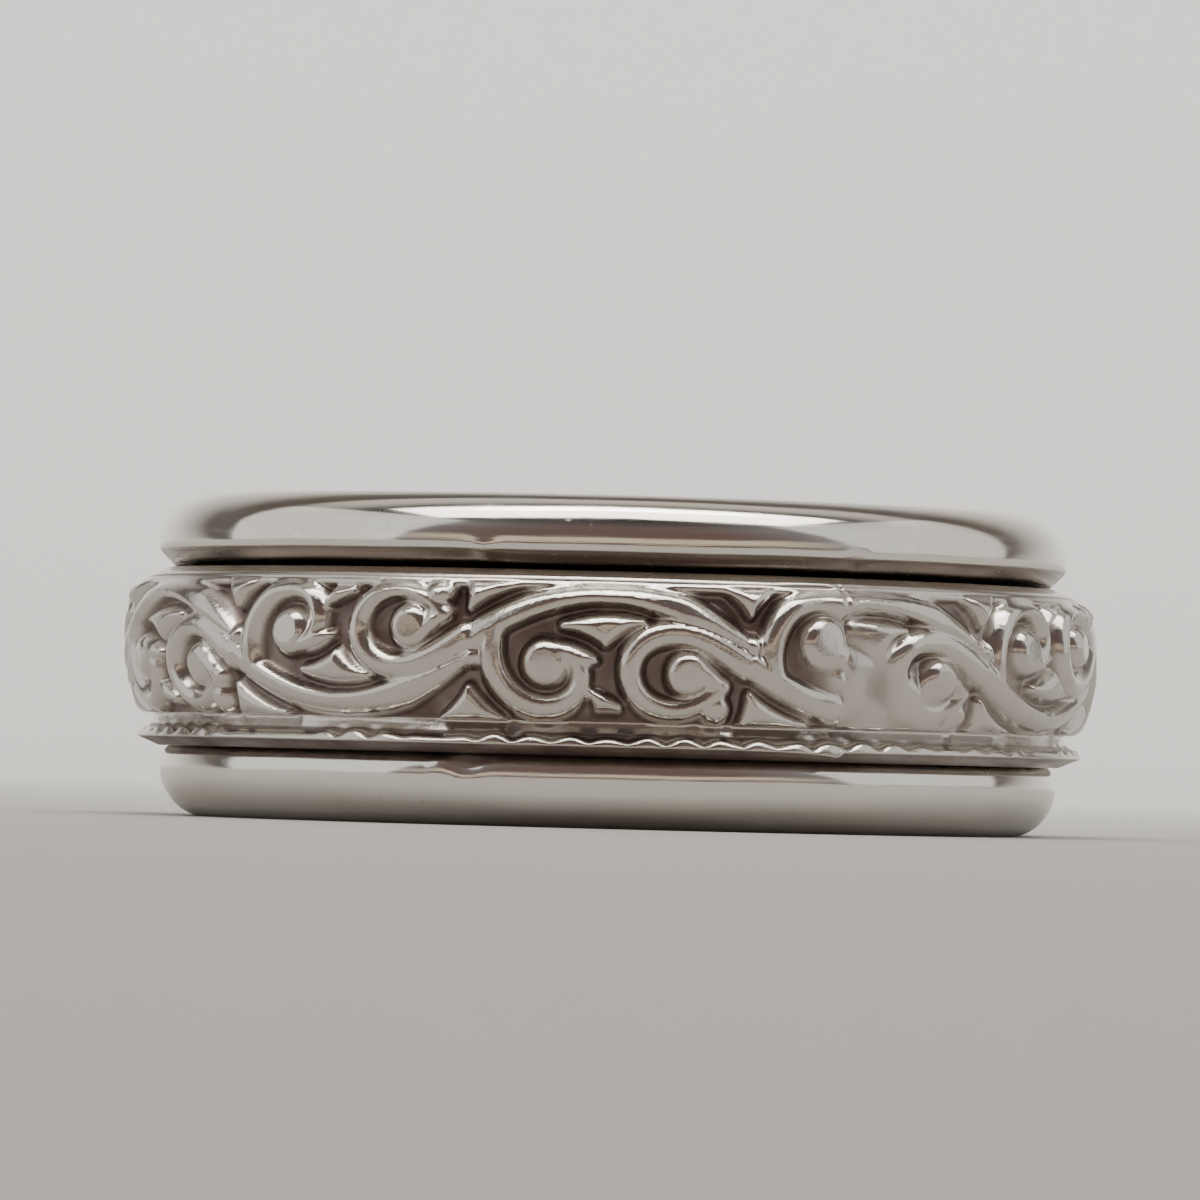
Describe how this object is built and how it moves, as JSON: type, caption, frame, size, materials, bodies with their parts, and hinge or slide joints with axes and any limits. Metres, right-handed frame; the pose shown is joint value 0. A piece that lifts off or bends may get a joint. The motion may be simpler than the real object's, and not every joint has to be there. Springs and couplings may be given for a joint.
{
  "type": "spinner ring",
  "caption": "Silver spinner ring: a sleeve between polished domed rims, and a wide loose band with raised running scrolls and a flared lower edge that turns in the channel.",
  "frame": {"origin": "centre of the lower rim's flat land, on the axis of the finger hole; the ring lies on that rim", "axes": "+Z along the finger hole, from the lower rim to the upper rim; -Y towards the viewer of the picture; +X to the viewer's right"},
  "size_m": [0.0232, 0.0232, 0.0076],
  "materials": {
    "polished_silver": "polished sterling silver with fine wear",
    "cast_silver": "struck sterling silver, bright on the scrolls and slightly tarnished in the hollows"
  },
  "bodies": {
    "base": {"base_ring": "polished_silver"},
    "spinner": {"spinner_band": "cast_silver"}
  },
  "joints": [
    {"name": "band_spin", "type": "hinge", "parent": "base", "child": "spinner", "pos_m": [0, 0, 0.0038], "axis": [0, 0, 1], "continuous": true}
  ]
}
